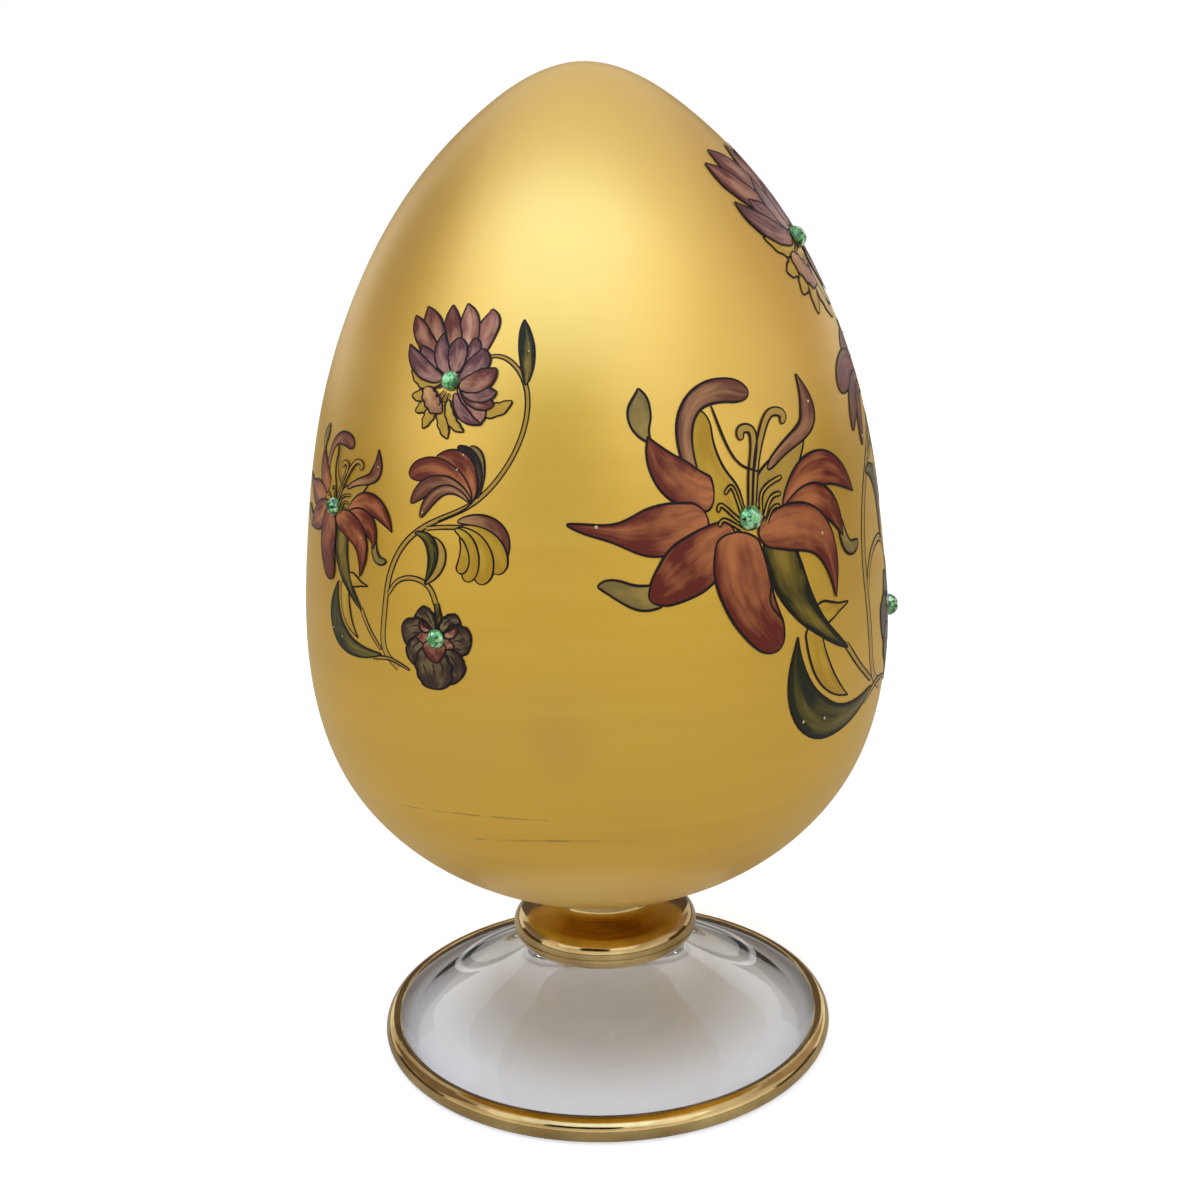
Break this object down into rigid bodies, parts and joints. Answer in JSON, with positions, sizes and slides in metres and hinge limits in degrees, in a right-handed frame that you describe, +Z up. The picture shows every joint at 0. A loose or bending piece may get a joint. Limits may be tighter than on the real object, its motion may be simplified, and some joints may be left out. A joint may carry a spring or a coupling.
{
  "type": "decorative egg on stand",
  "caption": "Gold-lacquered blown glass egg with floral enamel sprays and green crystals, on a gilded collar and a clear glass foot with a gilded rim.",
  "frame": {"origin": "middle of the foot's resting face, on the egg's axis", "axes": "+Z up along the egg's axis, front of the object towards -Y"},
  "size_m": [0.1227, 0.1218, 0.206],
  "materials": {
    "egg_glass": "smooth blown glass, hidden under the lacquer",
    "gold_lacquer": "satin metallic gold lacquer",
    "clear_glass": "clear polished glass",
    "mirror_gold": "mirror-bright gilding",
    "terracotta_enamel": "glossy enamel paint with thin dark outlines",
    "plum_enamel": "glossy enamel paint with thin dark outlines",
    "taupe_enamel": "glossy enamel paint with thin dark outlines",
    "yellow_enamel": "glossy enamel paint with thin dark outlines",
    "ink_enamel": "thin glossy dark enamel lines",
    "olive_enamel": "glossy enamel paint with thin dark outlines",
    "green_crystal": "faceted foil-backed crystal glass",
    "cement": "clear-setting jewel cement"
  },
  "bodies": {
    "root": {"egg_shell": "egg_glass", "lacquer_coat": "gold_lacquer", "collar_bead": "clear_glass", "collar_gilding": "mirror_gold", "foot": "clear_glass", "rim_gilding": "mirror_gold", "left_lily": "terracotta_enamel", "left_aster": "plum_enamel", "left_pansy": "taupe_enamel", "left_calyx": "olive_enamel", "left_leaf": "olive_enamel", "left_bud": "olive_enamel", "left_tulip": "terracotta_enamel", "left_palmette": "yellow_enamel", "left_stems": "ink_enamel", "left_lily_crystal": "green_crystal", "left_aster_crystal": "green_crystal", "left_pansy_crystal": "green_crystal", "left_cement": "cement", "right_lily": "terracotta_enamel", "right_aster": "plum_enamel", "right_pansy": "taupe_enamel", "right_calyx": "olive_enamel", "right_leaf": "olive_enamel", "right_bud": "olive_enamel", "right_tulip": "terracotta_enamel", "right_palmette": "yellow_enamel", "right_stems": "ink_enamel", "right_lily_crystal": "green_crystal", "right_aster_crystal": "green_crystal", "right_pansy_crystal": "green_crystal", "right_cement": "cement", "back_lily": "terracotta_enamel", "back_aster": "plum_enamel", "back_pansy": "taupe_enamel", "back_calyx": "olive_enamel", "back_leaf": "olive_enamel", "back_bud": "olive_enamel", "back_tulip": "terracotta_enamel", "back_palmette": "yellow_enamel", "back_stems": "ink_enamel", "back_lily_crystal": "green_crystal", "back_aster_crystal": "green_crystal", "back_pansy_crystal": "green_crystal", "back_cement": "cement"}
  },
  "joints": []
}
